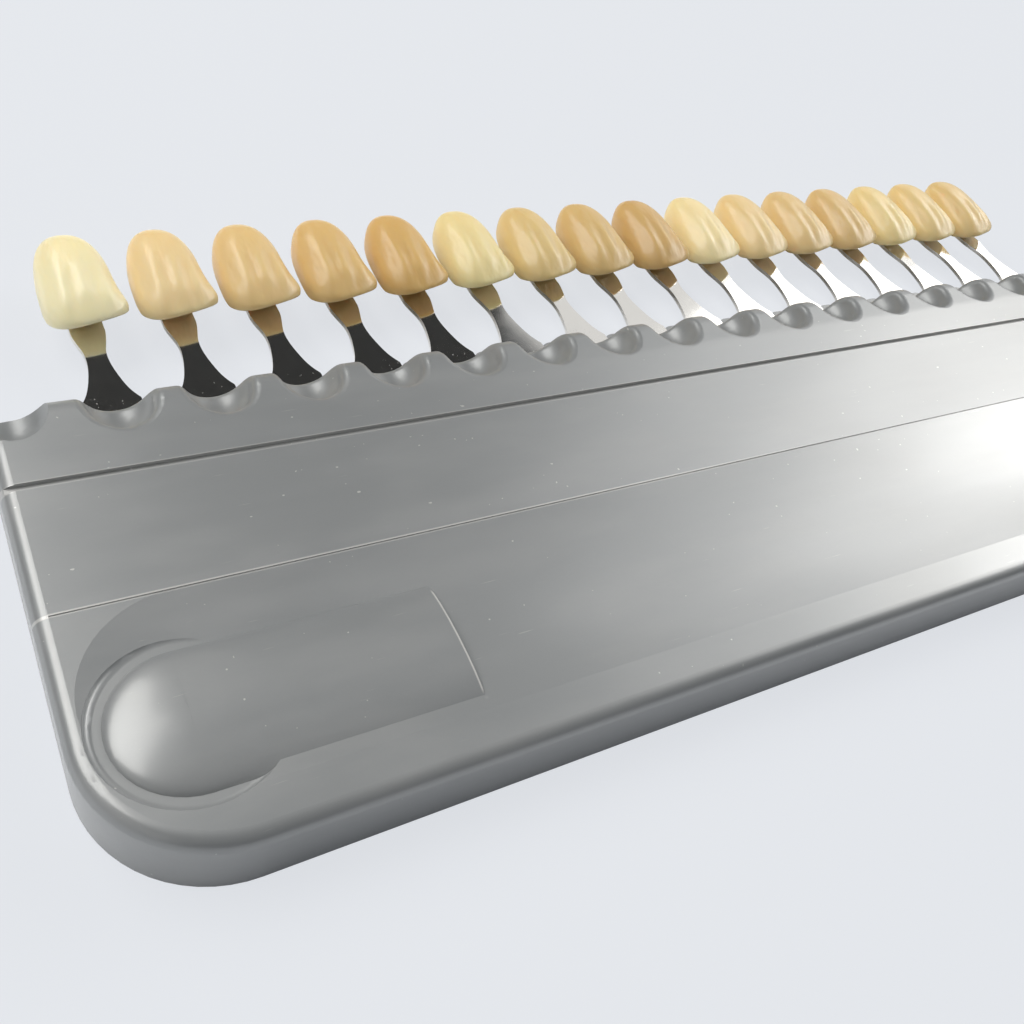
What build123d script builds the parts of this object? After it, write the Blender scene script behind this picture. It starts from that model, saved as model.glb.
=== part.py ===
from build123d import *
import os

os.makedirs("parts", exist_ok=True)

# A shade guide: a flat moulded holder that lies on its back, with a row of sample teeth on
# steel strips along its scalloped edge. X runs along the holder, +Y points from its rounded
# front edge to the teeth, +Z is out of its face. The back of the holder is at Z = 0.

# Driving dimensions, in millimetres
tab_count = 16
tab_pitch = 11.0
end_margin = 13.9            # last tab to the end of the holder
holder_width = 58.2          # front edge to the crests of the back cover
face_height = 8.7            # face above the back
corner_radius = 13.4         # the two big corners beside the front edge
rail_corner_radius = 3.0     # the two small corners beside the scalloped edge
rim_round = 1.5              # rounding where the face turns into the side wall

# Back cover
cover_thickness = 2.0
cover_edge_round = 0.35
strip_floor = 3.3            # height of the floor that the strips slide on
crest_width = 4.6            # back cover crest between two strips, at its foot
crest_round = 1.9
land_clearance = 0.1         # cover land in the front shell's recess
land_margin = 4.5            # ends of the recess to the ends of the holder

# Strips and their pockets
strip_thickness = 0.6
blade_width = 6.6
blade_depth = 21.0           # how far a strip reaches into the holder
blade_chamfer = 1.2
shoulder_setback = 0.5       # strip shoulders below the crests
shoulder_round = 0.6
neck_half_width = 1.27
neck_distance = 7.9          # crests to the narrowest point of the strip
tongue_half_width = 2.0
tongue_distance = 11.6       # crests to the start of the tongue
tongue_length = 9.5          # part of the strip under its tooth
side_clearance = 0.15
slide_clearance = 0.05       # above and below a strip

# Scalloped rail of the front shell
rail_setback = 2.3           # front shell edge below the crests of the cover
nose_radius = 3.4
scoop_radius = 3.75
scoop_floor = 4.75           # height of the lowest line of a thumb scoop
scoop_length = 5.1           # length of the scoop's rounded end
scoop_reach = 6.9            # front shell edge to the tip of a scoop
scoop_round = 1.1            # soft lip of a scoop

# Bands of the face, as distances from the front edge
groove_line = 42.7
groove_width = 0.8
groove_depth = 0.5
trough_end = 26.7
trough_start = 4.9
trough_margin = 1.7          # trough to the two ends of the holder
trough_depth = 1.0
band_rise = 0.12             # the face behind the trough stands this much higher

# Capsule-shaped name pad, left bare
pad_end = 23.0               # sharp end of the pad, from the first tab
pad_length = 26.4            # sharp end to the middle of the domed end
pad_width = 14.8
pad_centre = 13.1            # middle line of the pad, from the front edge
pad_crown = 0.45             # crown of the pad above the face
moat_width = 1.5             # floor between the domed end and the rim
moat_round = 0.8
moat_drop = 0.17             # foot of the pad below the floor of its moat

# Cavity in the front shell
wall = 2.0
rib_thickness = 1.2
rib_count = 9
cavity_end = 32.0            # from the front edge

# Sample teeth
tooth_standoff = 10.45       # crests to the middle of the cutting edge
tooth_length = 15.45
tooth_rise = 6.0             # thickest part above the strip
slot_depth = 0.45            # how deep a strip lies in the back of its tooth
slot_clearance = 0.05

# Places worked out from the sizes
low_face = face_height - band_rise
holder_length = (tab_count - 1) * tab_pitch + 2 * end_margin
overall_depth = holder_width + tooth_standoff + tooth_length
front_y = -overall_depth / 2
crest_y = front_y + holder_width
rail_y = crest_y - rail_setback
strip_bottom = strip_floor + slide_clearance
strip_top = strip_bottom + strip_thickness
pocket_top = strip_top + slide_clearance
pocket_end = crest_y - blade_depth - side_clearance
land_start = pocket_end - wall
tooth_y = crest_y + tooth_standoff
tab_places = [(i - (tab_count - 1) / 2) * tab_pitch for i in range(tab_count)]
scoop_places = [(i - (tab_count + 1) / 2) * tab_pitch for i in range(tab_count + 2)]
crest_places = [(i - tab_count / 2) * tab_pitch for i in range(tab_count + 1)]


def holder_outline(edge_y, inset=0.0):
    """Outline of the holder: straight sides, two big front corners, two small rail corners."""
    half = holder_length / 2 - inset
    big = corner_radius - inset
    small = rail_corner_radius - inset
    low = front_y + inset
    with BuildLine() as outline:
        Line((-half + big, low), (half - big, low))
        RadiusArc((half - big, low), (half, low + big), -big)
        Line((half, low + big), (half, edge_y - small))
        RadiusArc((half, edge_y - small), (half - small, edge_y), -small)
        Line((half - small, edge_y), (-half + small, edge_y))
        RadiusArc((-half + small, edge_y), (-half, edge_y - small), -small)
        Line((-half, edge_y - small), (-half, low + big))
        RadiusArc((-half, low + big), (-half + big, low), -big)
    return outline.line


# The thumb scoop: a round channel along Y with a rounded end, used as the cutter of the rail
scoop_axis = scoop_floor + scoop_radius
scoop_tip = rail_y - scoop_reach
with BuildPart() as scoop:
    with BuildSketch(Plane(origin=(0, scoop_tip, scoop_axis), x_dir=(0, 1, 0), z_dir=(1, 0, 0))) as half:
        with BuildLine():
            EllipticalCenterArc((scoop_length, 0), scoop_length, scoop_radius, 90, arc_size=90)
            Polyline((0, 0), (scoop_reach + 2, 0), (scoop_reach + 2, scoop_radius),
                     (scoop_length, scoop_radius))
        make_face()
    revolve(axis=Axis((0, scoop_tip, scoop_axis), (0, 1, 0)))

# Front shell: face, rim, side wall, scalloped rail, pad and the pockets of the strips
with BuildPart() as front_shell:
    with BuildSketch(Plane.XY.offset(cover_thickness)):
        with BuildLine():
            add(holder_outline(rail_y))
        make_face()
    extrude(amount=low_face - cover_thickness)
    fillet(front_shell.faces().sort_by(Axis.Z)[-1].edges(), rim_round)

    # the upper band and the rail stand a little higher than the rest of the face
    with BuildSketch(Plane.XY.offset(low_face)):
        with BuildLine():
            add(holder_outline(rail_y, rim_round))
        make_face()
        with Locations((0, front_y + trough_end + holder_width / 2)):
            Rectangle(holder_length, holder_width, mode=Mode.INTERSECT)
    extrude(amount=band_rise)

    # bull-nose along the rail, wider than the rounding of the rim
    with BuildSketch(Plane.YZ):
        with BuildLine():
            Polyline((rail_y - nose_radius, face_height), (rail_y + 1, face_height),
                     (rail_y + 1, face_height - nose_radius), (rail_y, face_height - nose_radius))
            RadiusArc((rail_y, face_height - nose_radius), (rail_y - nose_radius, face_height),
                      -nose_radius)
        make_face()
    extrude(amount=holder_length, both=True, mode=Mode.SUBTRACT)

    # thin groove under the rail
    with BuildSketch(Plane.XY.offset(face_height)):
        with Locations((0, front_y + groove_line)):
            Rectangle(holder_length + 2, groove_width)
    extrude(amount=-groove_depth, mode=Mode.SUBTRACT)

    # thumb scoops in front of the strips, and one more at each end
    with Locations([(x, 0, 0) for x in scoop_places]):
        add(scoop.part, mode=Mode.SUBTRACT)
    curved = front_shell.edges().filter_by(lambda edge: edge.geom_type not in (GeomType.LINE, GeomType.CIRCLE))
    lips = [edge for edge in curved if abs(edge.center().X) < tab_places[-1] + scoop_radius
            and edge.center().Y > scoop_tip and edge.center().Z > scoop_axis - nose_radius]
    fillet(lips, scoop_round)

# The trough: a shallow arc in cross-section that fades out in a bowl at each end
trough_middle = front_y + (trough_start + trough_end) / 2
trough_half = (trough_end - trough_start) / 2
bowl_x = holder_length / 2 - trough_margin - trough_half
with BuildPart() as trough:
    with BuildSketch(Plane(origin=(0, trough_middle, low_face), x_dir=(0, 1, 0), z_dir=(1, 0, 0))):
        with BuildLine():
            ThreePointArc((-trough_half, 0), (0, -trough_depth), (trough_half, 0))
            Polyline((trough_half, 0), (trough_half, 1), (-trough_half, 1), (-trough_half, 0))
        make_face()
    extrude(amount=bowl_x, both=True)
    for x in (-bowl_x, bowl_x):
        with BuildSketch(Plane(origin=(x, trough_middle, low_face), x_dir=(0, 1, 0), z_dir=(1, 0, 0))):
            with BuildLine():
                ThreePointArc((-trough_half, 0), (0, -trough_depth), (trough_half, 0))
                Polyline((trough_half, 0), (trough_half, 1), (-trough_half, 1), (-trough_half, 0))
            make_face()
            with Locations((trough_half, 0)):
                Rectangle(2 * trough_half, 4, mode=Mode.INTERSECT)
        revolve(axis=Axis((x, trough_middle, 0), (0, 0, 1)))

# The pad: a crowned bar with a domed end, in a moat of its own
pad_middle_y = front_y + pad_centre
pad_right = tab_places[0] + pad_end
dome_x = pad_right - pad_length
pad_foot = low_face - trough_depth
pad_rise = face_height + pad_crown - pad_foot
pad_half = pad_width / 2
with BuildPart() as moat:
    with BuildSketch(Plane(origin=(dome_x, pad_middle_y, pad_foot), x_dir=(1, 0, 0), z_dir=(0, -1, 0))):
        with BuildLine():
            moat_half = pad_half + moat_width
            Polyline((0, moat_drop), (moat_half - moat_round, moat_drop))
            RadiusArc((moat_half - moat_round, moat_drop), (moat_half, moat_drop + moat_round),
                      -moat_round)
            Polyline((moat_half, moat_drop + moat_round), (moat_half, 3), (0, 3), (0, moat_drop))
        make_face()
    revolve(axis=Axis((dome_x, pad_middle_y, 0), (0, 0, 1)))

with BuildPart() as pad:
    with BuildSketch(Plane(origin=(dome_x, pad_middle_y, pad_foot), x_dir=(0, 1, 0), z_dir=(1, 0, 0))):
        with BuildLine():
            EllipticalCenterArc((0, 0), pad_half, pad_rise, 0, arc_size=180)
            Polyline((-pad_half, 0), (-pad_half, -0.5), (pad_half, -0.5), (pad_half, 0))
        make_face()
    extrude(amount=pad_length)
    with BuildSketch(Plane(origin=(dome_x, pad_middle_y, pad_foot), x_dir=(1, 0, 0), z_dir=(0, -1, 0))):
        with BuildLine():
            EllipticalCenterArc((0, 0), pad_half, pad_rise, 0, arc_size=90)
            Polyline((0, pad_rise), (0, -0.5), (pad_half, -0.5), (pad_half, 0))
        make_face()
    revolve(axis=Axis((dome_x, pad_middle_y, 0), (0, 0, 1)))

with front_shell:
    add(trough.part, mode=Mode.SUBTRACT)
    add(moat.part, mode=Mode.SUBTRACT)
    add(pad.part)

    # cavity behind the face, stiffened by cross ribs
    cavity_length = holder_length - 2 * wall
    cavity_width = cavity_end - wall
    bay = (cavity_length - rib_count * rib_thickness) / (rib_count + 1)
    with BuildSketch(Plane.XY.offset(cover_thickness)) as bays:
        with Locations((0, front_y + wall + cavity_width / 2)):
            with GridLocations(bay + rib_thickness, 1, rib_count + 1, 1):
                Rectangle(bay, cavity_width)
        with BuildSketch(mode=Mode.INTERSECT):
            with BuildLine():
                add(holder_outline(rail_y, wall))
            make_face()
    extrude(amount=face_height - trough_depth - wall - cover_thickness, mode=Mode.SUBTRACT)

    # recess for the land of the cover, and a pocket for each strip above it
    with BuildSketch(Plane.XY.offset(cover_thickness)):
        with Locations((0, (land_start + crest_y) / 2)):
            Rectangle(holder_length - 2 * land_margin, crest_y - land_start)
    extrude(amount=strip_floor - cover_thickness, mode=Mode.SUBTRACT)
    with BuildSketch(Plane.XY.offset(cover_thickness)):
        for x in tab_places:
            with Locations((x, (pocket_end + crest_y) / 2)):
                Rectangle(blade_width + 2 * side_clearance, crest_y - pocket_end)
    extrude(amount=pocket_top - cover_thickness, mode=Mode.SUBTRACT)

front_shell.part.label = "front_shell"
export_step(front_shell.part, "parts/front_shell.step")

# Back cover: a plate of the same outline, with the land that the strips slide on and a crest
# between each two strips
with BuildPart() as back_cover:
    with BuildSketch(Plane.XY):
        with BuildLine():
            add(holder_outline(rail_y))
        make_face()
    extrude(amount=cover_thickness)
    fillet(back_cover.faces().sort_by(Axis.Z)[0].edges(), cover_edge_round)
    with BuildSketch(Plane.XY.offset(cover_thickness)):
        with Locations((0, (land_start + land_clearance + rail_y) / 2)):
            Rectangle(holder_length - 2 * land_margin - 2 * land_clearance,
                      rail_y - land_start - land_clearance)
    extrude(amount=strip_floor - cover_thickness)
    with BuildSketch(Plane.XY.offset(cover_edge_round)) as crests:
        with Locations([(x, (rail_y + crest_y) / 2 - 1) for x in crest_places]):
            Rectangle(crest_width, crest_y - rail_y + 2)
        fillet(crests.vertices().group_by(Axis.Y)[-1], crest_round)
    extrude(amount=strip_floor - cover_edge_round)

back_cover.part.label = "back_cover"
export_step(back_cover.part, "parts/back_cover.step")


def make_strip(x):
    """A flat steel strip: plain blade, flared shoulders, waist and tongue."""
    blade_start = crest_y - blade_depth
    shoulder = crest_y - shoulder_setback
    neck = crest_y + neck_distance
    tongue_start = crest_y + tongue_distance
    tongue_end = tongue_start + tongue_length
    half_blade = blade_width / 2
    flare_y = shoulder + 0.45 * (neck - shoulder)
    flare_half = neck_half_width + 0.24 * (half_blade - neck_half_width)
    with BuildPart() as strip:
        with BuildSketch(Plane(origin=(x, 0, strip_bottom))) as flat:
            with BuildLine():
                Polyline((half_blade, shoulder), (half_blade, blade_start),
                         (-half_blade, blade_start), (-half_blade, shoulder))
                Spline((-half_blade, shoulder), (-flare_half, flare_y), (-neck_half_width, neck),
                       (-tongue_half_width, tongue_start), tangents=[(0.72, 1), (-0.1, 1)])
                Polyline((-tongue_half_width, tongue_start), (-tongue_half_width, tongue_end),
                         (tongue_half_width, tongue_end), (tongue_half_width, tongue_start))
                Spline((tongue_half_width, tongue_start), (neck_half_width, neck), (flare_half, flare_y),
                       (half_blade, shoulder), tangents=[(-0.1, -1), (0.72, -1)])
            make_face()
            fillet(flat.vertices().group_by(Axis.Y)[-1], tongue_half_width * 0.6)
            chamfer(flat.vertices().group_by(Axis.Y)[0], blade_chamfer)
            shoulders = flat.vertices().filter_by_position(Axis.Y, shoulder - 0.01, shoulder + 0.01)
            fillet(shoulders, shoulder_round)
        extrude(amount=strip_thickness)
    return strip.part


# Shape of a sample tooth from the cutting edge (0) to the neck end (1): width to the left and to
# the right, lip side above the strip, tongue side above the bed of the strip
tooth_stations = (0.0, 0.04, 0.15, 0.33, 0.55, 0.76, 0.90, 0.975, 1.0)
left_width = (2.9, 3.6, 4.15, 4.25, 4.05, 3.6, 2.8, 1.7, 0.7)
right_width = (4.5, 5.0, 5.25, 4.95, 4.3, 3.4, 2.5, 1.5, 0.7)
lip_height = (2.9, 3.4, 4.0, 4.8, 5.55, 6.0, 5.6, 4.5, 3.6)
tongue_height = (2.7, 2.1, 1.1, 0.0, 0.0, 0.0, 0.4, 1.4, 2.3)
edge_turn = (12, 12, 10, 6, 3, 0, 0, 0, 0)          # degrees: the cutting edge lies aslant
edge_lean = (0.14, 0.14, 0.10, 0, 0, 0, 0, 0, 0)    # and its right end is raised


def make_tooth(x):
    """A crown lofted from the thin cutting edge to the thick neck end, bedded on its strip."""
    bed = strip_top - slot_depth
    with BuildPart() as tooth:
        for place, left, right, lip, tongue, turn, lean in zip(
                tooth_stations, left_width, right_width, lip_height, tongue_height, edge_turn, edge_lean):
            y = tooth_y + place * tooth_length
            low = bed + tongue
            high = strip_top + lip
            side = low + 0.42 * (high - low)
            crown = low + 0.86 * (high - low)
            section = Plane(origin=(x, y, 0), x_dir=(1, 0, 0), z_dir=(0, -1, 0)).rotated((0, 0, turn))
            with BuildSketch(section):
                with BuildLine():
                    Spline((-left, side - lean * left), (-0.62 * left, crown - 0.62 * lean * left),
                           (0, high), (0.62 * right, crown + 0.62 * lean * right),
                           (right, side + lean * right), tangents=[(0, 1), (0, -1)])
                    Spline((right, side + lean * right), (0.72 * right, low + 0.72 * lean * right),
                           (-0.72 * left, low - 0.72 * lean * left), (-left, side - lean * left),
                           tangents=[(0, -1), (0, 1)])
                make_face()
        loft()
        with BuildSketch(Plane(origin=(x, 0, bed - 1))):
            slot_half = tongue_half_width + slot_clearance
            slot_end = crest_y + tongue_distance + tongue_length + slot_clearance
            with Locations((0, (tooth_y + slot_end) / 2)):
                Rectangle(2 * slot_half, slot_end - tooth_y)
        extrude(amount=1 + slot_depth, mode=Mode.SUBTRACT)
    return tooth.part


for number, place in enumerate(tab_places, start=1):
    strip = make_strip(place)
    strip.label = f"strip_{number:02d}"
    export_step(strip, f"parts/strip_{number:02d}.step")
    tooth = make_tooth(place)
    tooth.label = f"tooth_{number:02d}"
    export_step(tooth, f"parts/tooth_{number:02d}.step")
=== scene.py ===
# %% [markdown]
# # Dental shade guide
#
# A dentist holds this guide beside a patient's teeth to name their colour. Sixteen sample teeth
# stand on steel strips along the scalloped edge of a moulded plastic holder. The CAD model gives
# every piece its size and place, and this lesson gives the guide its looks: the light of the
# picture, the satin plastic, the mirror-like steel and the glazed porcelain.

# %% Load the CAD model
import math

import bpy
import numpy as np
from mathutils import Matrix, Vector


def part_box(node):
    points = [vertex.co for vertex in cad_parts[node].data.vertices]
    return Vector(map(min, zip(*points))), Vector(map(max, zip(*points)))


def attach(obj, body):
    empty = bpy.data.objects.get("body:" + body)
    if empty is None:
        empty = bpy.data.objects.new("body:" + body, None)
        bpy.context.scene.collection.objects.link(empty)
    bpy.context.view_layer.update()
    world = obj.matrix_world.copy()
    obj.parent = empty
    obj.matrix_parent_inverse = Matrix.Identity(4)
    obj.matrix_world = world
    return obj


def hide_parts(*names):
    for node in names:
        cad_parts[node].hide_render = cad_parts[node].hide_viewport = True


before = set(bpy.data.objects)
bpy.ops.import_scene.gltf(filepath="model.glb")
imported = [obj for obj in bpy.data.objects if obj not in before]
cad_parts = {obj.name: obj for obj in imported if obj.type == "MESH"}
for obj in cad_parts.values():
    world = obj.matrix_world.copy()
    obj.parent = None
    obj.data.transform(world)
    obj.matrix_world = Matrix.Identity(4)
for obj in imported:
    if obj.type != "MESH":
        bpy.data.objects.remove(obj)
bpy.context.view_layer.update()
print("CAD pieces:", len(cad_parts))

# %% [markdown]
# ## Places
#
# The frame says where each piece is. One millimetre is named once, so that the sizes below read
# like the ones on a drawing.

# %% Places on the guide
mm = 0.001
tabs = [f"{number:02d}" for number in range(1, 17)]
shell_low, shell_high = (np.array(corner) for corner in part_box("front_shell"))
tooth_boxes = {tab: [np.array(corner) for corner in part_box(f"tooth_{tab}")] for tab in tabs}
strip_boxes = {tab: [np.array(corner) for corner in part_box(f"strip_{tab}")] for tab in tabs}
strip_middles = {tab: (low[0] + high[0]) / 2 for tab, (low, high) in strip_boxes.items()}
print("holder shell from", shell_low / mm, "to", shell_high / mm)
print("first and last strip at", strip_middles[tabs[0]] / mm, strip_middles[tabs[-1]] / mm)

# %% [markdown]
# ## Shader expressions
#
# A pattern is a sum: grain plus streaks times a mask. `Socket` lets that sum be written in
# Python, and each operator adds the Math node that it stands for.


# %% Shader expressions
# Some sockets share their names with others of their node, so they go by their number.
first_colour, second_colour, mixed_colour = 6, 7, 2
object_place = 3


class Socket:
    """An output socket of a shader node, with the operators that the materials use."""

    def __init__(self, tree, output):
        self.tree = tree
        self.output = output

    def math(self, operation, *values):
        """A Math node with this operation on these values."""
        settings = {"operation": operation}
        return add_node(self.tree, "ShaderNodeMath", settings, dict(enumerate(values)))

    def __add__(self, other):
        return self.math("ADD", self, other)

    def __sub__(self, other):
        return self.math("SUBTRACT", self, other)

    def __rsub__(self, other):
        return self.math("SUBTRACT", other, self)

    def __mul__(self, other):
        return self.math("MULTIPLY", self, other)

    def near(self, place, inner, outer):
        """Is 1 within inner of a place and falls to 0 at outer, on both sides of it."""
        return (self - place).math("ABSOLUTE", self - place).ramp(outer, inner)

    def ramp(self, start, end):
        """Rises smoothly from 0 at start to 1 at end."""
        settings = {"interpolation_type": "SMOOTHSTEP"}
        sockets = {"Value": self, "From Min": start, "From Max": end}
        return add_node(self.tree, "ShaderNodeMapRange", settings, sockets)

    __radd__ = __add__
    __rmul__ = __mul__


def add_node(tree, kind, settings=None, sockets=None, output=0):
    """Adds a node: its settings first, then the values or links of its sockets."""
    node = tree.nodes.new(kind)
    for name, value in (settings or {}).items():
        setattr(node, name, value)
    for name, value in (sockets or {}).items():
        if isinstance(value, Socket):
            tree.links.new(value.output, node.inputs[name])
        else:
            node.inputs[name].default_value = value
    return Socket(tree, node.outputs[output])


def mix_colours(tree, share, first, second):
    """The first colour where share is 0 and the second where it is 1."""
    settings = {"data_type": "RGBA"}
    sockets = {"Factor": share, first_colour: first, second_colour: second}
    return add_node(tree, "ShaderNodeMix", settings, sockets, output=mixed_colour)


def new_material(name, constants):
    """A material whose Principled shader has these constants, with its tree and shader."""
    material = bpy.data.materials.new(name)
    material.use_nodes = True
    shader = material.node_tree.nodes["Principled BSDF"]
    for socket, value in constants.items():
        shader.inputs[socket].default_value = value
    return material, material.node_tree, shader


def feed(tree, shader, **sockets):
    """Links sockets of a shader, with _ for a space in their names."""
    for name, value in sockets.items():
        tree.links.new(value.output, shader.inputs[name.replace("_", " ")])


def place_axes(tree):
    """The x, y and z of a point on a piece, in metres."""
    place = add_node(tree, "ShaderNodeTexCoord", output=object_place)
    return [add_node(tree, "ShaderNodeSeparateXYZ", None, {0: place}, output=i) for i in range(3)]


def noise(tree, size, detail=2.0, stretch=(1, 1, 1), output=0):
    """Noise with features of this size, in metres, longer along an axis with a large stretch."""
    place = add_node(tree, "ShaderNodeTexCoord", output=object_place)
    scale = [1 / (size * factor) for factor in stretch]
    scaled = add_node(tree, "ShaderNodeMapping", None, {"Vector": place, "Scale": scale})
    sockets = {"Vector": scaled, "Scale": 1.0, "Detail": detail}
    return add_node(tree, "ShaderNodeTexNoise", None, sockets, output=output)


def bump(tree, height):
    """A normal for a height pattern in metres."""
    sockets = {"Height": height, "Distance": 1.0, "Strength": 1.0}
    return add_node(tree, "ShaderNodeBump", None, sockets)


# %% [markdown]
# ## Camera
#
# The camera stands low over the near left corner and is turned, so that the row of teeth runs
# level across the picture while the holder falls away to the right.

# %% Camera
eye = Vector((-99.42, -73.37, 90.89)) * mm
target = Vector((-40.64, -9.23, 0)) * mm
roll = 0.364
forward = (target - eye).normalized()
level = forward.cross(Vector((0, 0, 1))).normalized()
upright = level.cross(forward)
right = math.cos(roll) * level + math.sin(roll) * upright
up = -math.sin(roll) * level + math.cos(roll) * upright
camera_data = bpy.data.cameras.new("camera")
camera_data.sensor_width = 36
camera_data.lens = 35.4
camera_data.clip_start = 1 * mm
camera = bpy.data.objects.new("camera", camera_data)
camera.matrix_world = Matrix.Translation(eye) @ Matrix((right, up, -forward)).transposed().to_4x4()
bpy.context.collection.objects.link(camera)
bpy.context.scene.camera = camera
print("camera at", tuple(eye), "looks along", tuple(forward))

# %% [markdown]
# ## Sheet and light
#
# The guide lies on a pale sheet, which is mostly a glow to the camera, so that it stays even and
# still keeps a soft shadow. Steel and satin plastic show what they mirror, so the light is
# planned by compass side, from +Y towards +X. A wide window at the far left lights the domed end
# and the left flanks of the teeth. At the right a pale wall, a curtain, a window and its bright
# pane stand inside one another, so that the face grows brighter in steps too soft to see. A dark
# card stands between the two sides, which is what the first five strips mirror.


# %% Sheet and light
def toward(side, height, distance):
    """A place at a compass side (degrees from +Y to +X), height (degrees) and distance."""
    side, height = math.radians(side), math.radians(height)
    flat = distance * math.cos(height)
    return Vector((flat * math.sin(side), flat * math.cos(side), distance * math.sin(height)))


def add_lamp(name, place, width, height, glow, colour):
    """A soft rectangular lamp that faces the guide; glow 1 is as bright as white paper."""
    data = bpy.data.lights.new(name, "AREA")
    data.shape = "RECTANGLE"
    data.size = width
    data.size_y = height
    data.energy = glow * math.pi * width * height
    data.color = colour
    lamp = bpy.data.objects.new(name, data)
    lamp.location = place
    lamp.rotation_euler = (-place).to_track_quat("-Z", "Y").to_euler()
    lamp.visible_camera = False
    bpy.context.collection.objects.link(lamp)


def add_card(name, place, facing, width, height, material):
    """A flat card at a place that faces a direction."""
    x, y = width / 2, height / 2
    mesh = bpy.data.meshes.new(name)
    mesh.from_pydata([(-x, -y, 0), (x, -y, 0), (x, y, 0), (-x, y, 0)], [], [(0, 1, 2, 3)])
    mesh.materials.append(material)
    card = bpy.data.objects.new(name, mesh)
    card.location = place
    card.rotation_euler = Vector(facing).to_track_quat("Z", "Y").to_euler()
    bpy.context.collection.objects.link(card)
    return card


sheet_colour = (0.783, 0.807, 0.847, 1)
sheet_side = 6
seen_glow = 0.88
sheet_finish, tree, shader = new_material("sheet", {
    "Base Color": sheet_colour, "Roughness": 0.9, "Specular IOR Level": 0.0,
})
glow = add_node(tree, "ShaderNodeEmission", None, {"Color": sheet_colour, "Strength": 1.0})
seen = add_node(tree, "ShaderNodeLightPath", output=0)
lit = Socket(tree, shader.outputs[0])
sheet_mix = add_node(tree, "ShaderNodeMixShader", None, {0: seen * seen_glow, 1: lit, 2: glow})
tree.links.new(sheet_mix.output, tree.nodes["Material Output"].inputs["Surface"])
add_card("sheet", (0, 0, 0), (0, 0, 1), sheet_side, sheet_side, sheet_finish)

dark_finish, tree, shader = new_material("dark_card", {"Base Color": (0.02, 0.02, 0.019, 1)})
dark_place = toward(13.1, 45, 0.7)
dark_card = add_card("dark_card", dark_place, -dark_place, 0.42, 0.5, dark_finish)
dark_card.visible_camera = False

warm, pale = (1, 0.98, 0.94), (1, 0.99, 0.97)
add_lamp("left_window", toward(-45, 52, 1.0), 1.0, 0.6, 4.9, warm)
add_lamp("left_wall", toward(-105, 24, 1.4), 1.5, 0.9, 0.5, warm)
add_lamp("right_wall", toward(75, 23, 1.5), 2.45, 1.1, 0.66, pale)
add_lamp("right_curtain", toward(78, 41, 1.2), 1.1, 0.66, 1.3, pale)
add_lamp("right_window", toward(81, 32, 1.1), 0.76, 0.42, 1.9, warm)
add_lamp("right_pane", toward(83, 29, 1.0), 0.36, 0.26, 3.0, warm)

world = bpy.data.worlds.new("world")
bpy.context.scene.world = world
world.use_nodes = True
sky = world.node_tree.nodes["Background"]
sky.inputs["Color"].default_value = (0.80, 0.84, 0.90, 1)
sky.inputs["Strength"].default_value = 0.12
bpy.context.scene.view_settings.view_transform = "Standard"
print("lamps:", [lamp.name for lamp in bpy.data.lights])

# %% [markdown]
# ## Holder plastic
#
# The holder is moulded in a light grey plastic with a little pearl in it. It is satin, not
# glossy: a fine grain spreads the window over the face. Streaks run along the trough, where a
# hand slides over it, with a few faint scratches and specks of dust. The groove is painted paler,
# a painted light against its shade, and the sharp edges of the step and the pad carry painted
# highlights. The thumb scoops are duller, because the polish of the mould does not reach into
# them. The marks lie at their distances from the front edge of the holder and from the first
# strip, as the CAD edges do. Those of the groove and the step also run on, faintly, over the rim
# and down the end walls.

# %% Holder plastic
front, top = shell_low[1], shell_high[2]
groove_line = front + 42.7 * mm
step_line = front + 26.7 * mm
pad_front, pad_back = front + 5.9 * mm, front + 20.8 * mm
pad_end = strip_middles["01"] + 23 * mm
scoop_start = shell_high[1] - 8 * mm
light_grey, dark_grey = (0.312, 0.322, 0.328, 1), (0.277, 0.290, 0.298, 1)
# The pale grey serves the real scratches and also the painted light of the groove and the painted
# highlights of the step and pad.
pale_scratch_and_highlight_grey, dust_grey = (0.6, 0.6, 0.59, 1), (0.7, 0.7, 0.68, 1)

constants = {"Metallic": 0.25, "Coat Weight": 1.0, "Coat Roughness": 0.2}
plastic, tree, shader = new_material("holder_plastic", constants)
x, y, z = place_axes(tree)
grain = noise(tree, 0.3 * mm, detail=3)
waves = noise(tree, 9 * mm, detail=1, stretch=(2.5, 1, 1))
streaks = noise(tree, 1.2 * mm, detail=3, stretch=(14, 1, 1))
dust = noise(tree, 0.5 * mm, detail=0).ramp(0.865, 0.89)
rubbed = noise(tree, 6 * mm, detail=4, stretch=(3, 1, 1)).ramp(0.35, 0.75)
scratches = noise(tree, 0.25 * mm, detail=1, stretch=(18, 1, 1)).ramp(0.76, 0.86)

# Painted light: the groove is painted paler to ease the shade that falls in it.
painted_groove_light = y.near(groove_line, 0.4 * mm, 0.6 * mm)
# Painted highlight: a pale line along the step, full at the left end and gone past x = 10 mm.
step = y.near(step_line, 0.1 * mm, 0.25 * mm) * x.ramp(10 * mm, -30 * mm)
# Painted highlight: a thin pale line along the top of the pad's cliff.
edge = x.near(pad_end, 0.12 * mm, 0.22 * mm) * z.ramp(top - 0.85 * mm, top - 0.6 * mm)
edge = edge * y.ramp(pad_back, pad_back - 0.5 * mm) * y.ramp(pad_front, pad_front + 0.5 * mm)
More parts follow.
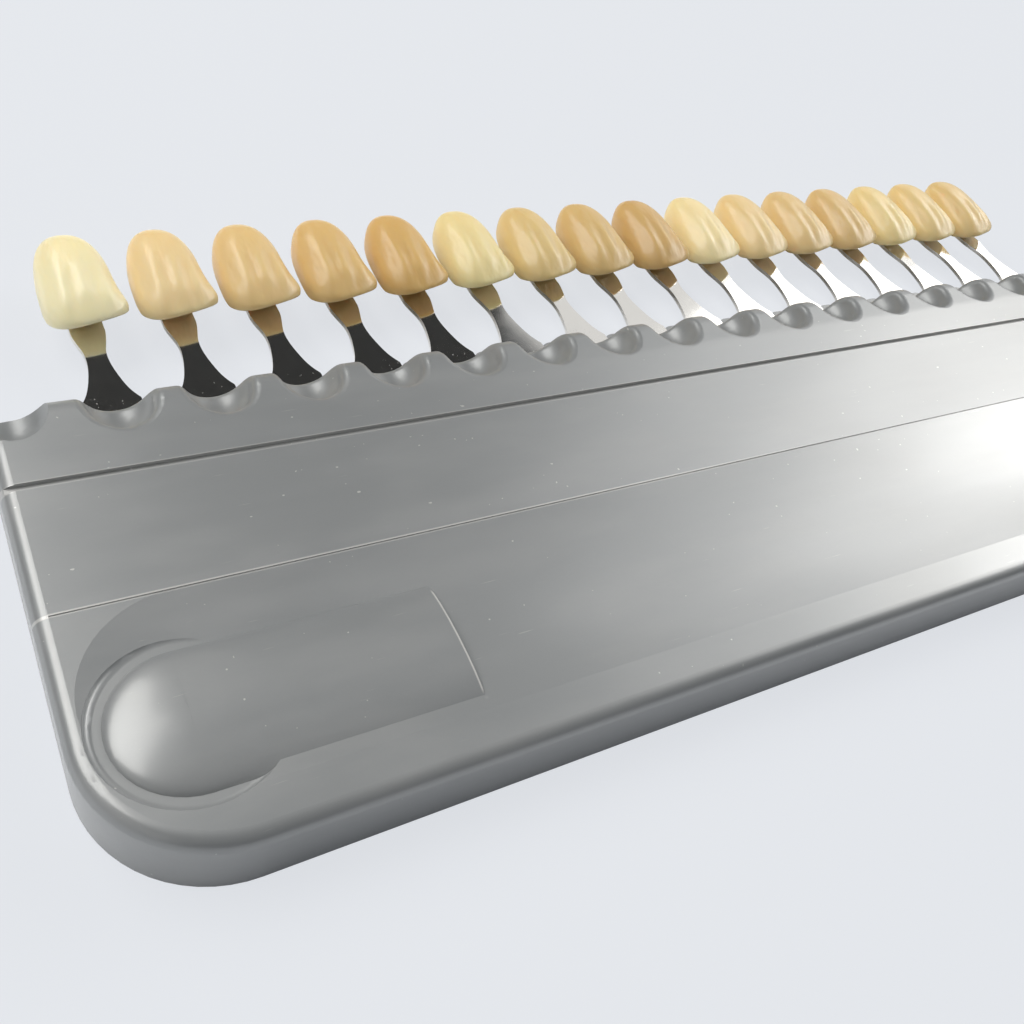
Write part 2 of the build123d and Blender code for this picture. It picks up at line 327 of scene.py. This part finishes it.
# Real scratches plus painted light in the groove and painted highlights on the step and the pad
# edge.
scratches_and_painted_light = scratches * 0.3 + painted_groove_light * 0.5 + step * 0.8 + edge
grey = mix_colours(tree, rubbed * 0.7 + grain * 0.3, dark_grey, light_grey)
grey = mix_colours(tree, scratches_and_painted_light.math("MINIMUM", scratches_and_painted_light, 1.0), grey, pale_scratch_and_highlight_grey)
feed(tree, shader, Base_Color=mix_colours(tree, dust * 0.6, grey, dust_grey))
feed(tree, shader, Roughness=0.34 + 0.08 * streaks + 0.06 * rubbed)
feed(tree, shader, Normal=bump(tree, grain * 0.003 * mm + waves * 0.08 * mm))

scoops = y.ramp(scoop_start, scoop_start + 1.5 * mm)
hollow = scoops * (1 - z.ramp(top - 0.6 * mm, top - 0.15 * mm))
feed(tree, shader, Coat_Weight=1 - hollow * 0.8)
print(plastic.name, "has", len(tree.nodes), "nodes")

# %% [markdown]
# ## Steel
#
# The strips are stamped from bright polished sheet, so they are plain metal and their look comes
# from what they mirror. Fingers leave faint smudges, and the mouth of the pocket scuffs each foot
# when its tab is pulled out, so the scuffs fade a few millimetres away from the holder.

# %% Steel
constants = {"Base Color": (0.88, 0.865, 0.83, 1), "Metallic": 1.0}
steel, tree, shader = new_material("strip_steel", constants)
y = place_axes(tree)[1]
foot = strip_boxes["01"][0][1] + 21 * mm
smudges = noise(tree, 2 * mm, detail=3)
scuffs = noise(tree, 0.4 * mm, detail=3, stretch=(1, 2, 1)).ramp(0.62, 0.8)
scuffs = scuffs * (1 - y.ramp(foot, foot + 3 * mm))
feed(tree, shader, Roughness=0.05 + 0.06 * smudges + 0.4 * scuffs)
print(steel.name, "has", len(tree.nodes), "nodes")

# %% [markdown]
# ## Sample teeth
#
# Each tooth is an upper front tooth, fired in porcelain in the same mould. It is wide and thin at
# the cutting edge, which stands clear of the strip, and thick at the neck, which is bedded on
# it. One surface draws it: a ring of points around the tooth, carried from the edge to the neck.


# %% Sample teeth
def close(share, power):
    """Falls from 1 at share 0 to 0 at share 1 as a superellipse: (1 - share^power)^(1/2)."""
    return np.sqrt(np.clip(1 - share**power, 0, 1))


def crown_grid(along, around):
    """Points of one tooth in mm, from the middle of its strip's top and the cutting edge.

    v runs from the cutting edge (0) to the neck (1) and a around the tooth, so that
    x = left or right width * |cos a|^0.86, y = length * v + slant * x and
    z = side height + lean * x, plus the lip side and its lobes * |sin a|^0.8 on top or minus
    the tongue side * |sin a|^0.45 below, both rounded off towards the edge and the neck. The
    widths follow superellipses, and the right one is waisted in the middle.
    """
    v = ((1 - np.cos(np.linspace(0, math.pi, along))) / 2)[:, None]
    a = np.linspace(0, 2 * math.pi, around, endpoint=False)[None, :]
    neck = close(v, 5.5)
    edge = close(np.clip(1 - v / 0.25, 0, 1), 2.2)
    left = 4.5 * close(np.clip(1 - v / 0.38, 0, 1), 2.4) * neck
    waist = 0.14 * np.exp(-((v - 0.16) / 0.12) ** 2) - 0.16 * np.exp(-((v - 0.47) / 0.13) ** 2)
    corner = close(np.clip(1 - v / 0.17, 0, 1) * 0.93, 2.6)
    right = (5.2 * (1 - 0.2 * v**1.4) + waist) * corner * neck
    down = np.clip(v / 0.35, 0, 1)
    middle = 2.5 - 1.4 * down * (2 - down) + 1.9 * v**3
    lip = 3.75 + 4.4 * v - 2.0 * v**2 - middle
    tongue = middle + 0.42 - np.clip(2.2 - 9 * v, 0, 3)
    cosine, sine = np.cos(a), np.sin(a)
    wide = np.sign(cosine) * np.abs(cosine) ** 0.86
    x = np.where(wide < 0, left, right) * wide
    share = x / 4.6
    lobes = 0.17 * np.cos(2 * math.pi * (share - 0.12) / 0.56) * np.exp(-((v - 0.3) / 0.22) ** 2)
    rise = (lip + lobes) * np.abs(sine) ** 0.8
    fall = tongue * np.abs(sine) ** 0.45
    z = middle + np.where(sine > 0, rise, -fall) * np.where(v < 0.5, edge, neck)
    slant = math.tan(math.radians(12)) * np.clip(1 - v / 0.6, 0, 1)
    lean = 0.06 * np.clip(1 - v / 0.35, 0, 1)
    y = 15.7 * v + slant * x
    return np.stack(np.broadcast_arrays(x, y, z + lean * x), axis=-1)


def closed_tube(name, grid):
    """A mesh from rings of points: quads between two rings and a fan at each end ring."""
    rings, around = grid.shape[:2]
    body = grid[1:-1].reshape(-1, 3)
    points = np.vstack([grid[0].mean(axis=0), body, grid[-1].mean(axis=0)])
    ring = np.arange(around)
    following = (ring + 1) % around
    start = 1 + around * np.arange(rings - 3)[:, None]
    quads = np.stack([start + ring, start + following, start + around + following,
                      start + around + ring], axis=-1).reshape(-1, 4)
    last = 1 + around * (rings - 3)
    low_fan = np.stack([np.zeros_like(ring), 1 + following, 1 + ring], axis=-1)
    tip = np.full_like(ring, len(points) - 1)
    high_fan = np.stack([tip, last + ring, last + following], axis=-1)
    mesh = bpy.data.meshes.new(name)
    mesh.from_pydata(points.tolist(), [], quads.tolist() + low_fan.tolist() + high_fan.tolist())
    mesh.shade_smooth()
    return mesh


def add_piece(name, mesh, material, node, body):
    """Shows a mesh instead of a CAD node, on the body that the node rides on."""
    mesh.materials.append(material)
    piece = bpy.data.objects.new(name, mesh)
    bpy.context.collection.objects.link(piece)
    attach(piece, body)
    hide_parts(node)


# %% [markdown]
# ## Porcelain
#
# The teeth stand in four groups of shades, each from its lightest tooth to its darkest, with the
# first step as the largest. Porcelain lets light in a little way, so the neck looks warm and full
# while the thin cutting edge looks clearer.

# %% Porcelain
groups = [
    (5, (255, 238, 194), (218, 182, 118)),
    (4, (241, 224, 168), (213, 179, 120)),
    (4, (250, 229, 178), (224, 195, 140)),
    (3, (240, 219, 162), (231, 205, 149)),
]
shades = {}
for count, light, dark in groups:
    for step in range(count):
        share = (step / (count - 1)) ** 0.65
        shades[tabs[len(shades)]] = [(1 - share) * a + share * b for a, b in zip(light, dark)]
print("shades:", {tab: [round(value) for value in shade] for tab, shade in shades.items()})


def linear(colour):
    """Display values from 0 to 255 as a linear colour."""
    share = np.array(colour) / 255
    return (*np.where(share > 0.04045, ((share + 0.055) / 1.055) ** 2.4, share / 12.92), 1)


def porcelain(tab):
    """The glazed porcelain of one sample tooth."""
    constants = {
        "Coat Weight": 0.16, "Coat Roughness": 0.1, "Specular IOR Level": 0.38,
        "Subsurface Weight": 0.7, "Subsurface Radius": (1, 0.9, 0.75),
        "Subsurface Scale": 2.2 * mm,
    }
    material, tree, shader = new_material(f"tooth_{tab}", constants)
    y = place_axes(tree)[1]
    low, high = tooth_boxes[tab]
    neck = y.ramp(low[1] + 0.25 * (high[1] - low[1]), high[1])
    cloud = noise(tree, 2.5 * mm, detail=2)
    shade = np.array(linear(shades[tab])[:3])
    clear = (*np.clip(shade * (0.98, 1.0, 1.06), 0, 1), 1)
    warm = (*np.clip(shade * (1.0, 0.95, 0.86), 0, 1), 1)
    feed(tree, shader, Base_Color=mix_colours(tree, neck * 0.8 + cloud * 0.2, clear, warm))
    feed(tree, shader, Roughness=0.3 + 0.1 * cloud)
    glaze = noise(tree, 1.3 * mm, detail=1, stretch=(0.8, 1.8, 1))
    feed(tree, shader, Normal=bump(tree, glaze * 0.12 * mm))
    return material


# %% [markdown]
# ## CAD pieces
#
# The shell, the cover and the strips keep their CAD shapes, which already hold every groove,
# scoop and pocket. Only their materials change.


# %% Finish every CAD piece
def finish_node(name, material):
    """Puts a material in every slot of a CAD node."""
    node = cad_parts[name]
    for place in node.material_slots:
        place.material = material


finish_node("front_shell", plastic)
finish_node("back_cover", plastic)
for tab in tabs:
    finish_node(f"strip_{tab}", steel)
print("finished:", 2 + len(tabs), "CAD pieces")

# %% [markdown]
# ## Teeth on their strips
#
# The sixteen teeth come out of one mould, so the same surface is placed on each strip. It takes
# the place of the CAD tooth, which is plainer, and rides on the tab with its strip.

# %% Put a tooth on every strip
tooth_length = 15.6 * mm
crown = crown_grid(along=72, around=96)
for tab in tabs:
    neck_end, strip_top = tooth_boxes[tab][1][1], strip_boxes[tab][1][2]
    base = np.array([strip_middles[tab], neck_end - tooth_length, strip_top])
    mesh = closed_tube(f"crown_{tab}", crown * mm + base)
    add_piece(f"crown_{tab}", mesh, porcelain(tab), f"tooth_{tab}", f"tab_{tab}")
print("tooth from", crown.min(axis=(0, 1)), "to", crown.max(axis=(0, 1)))
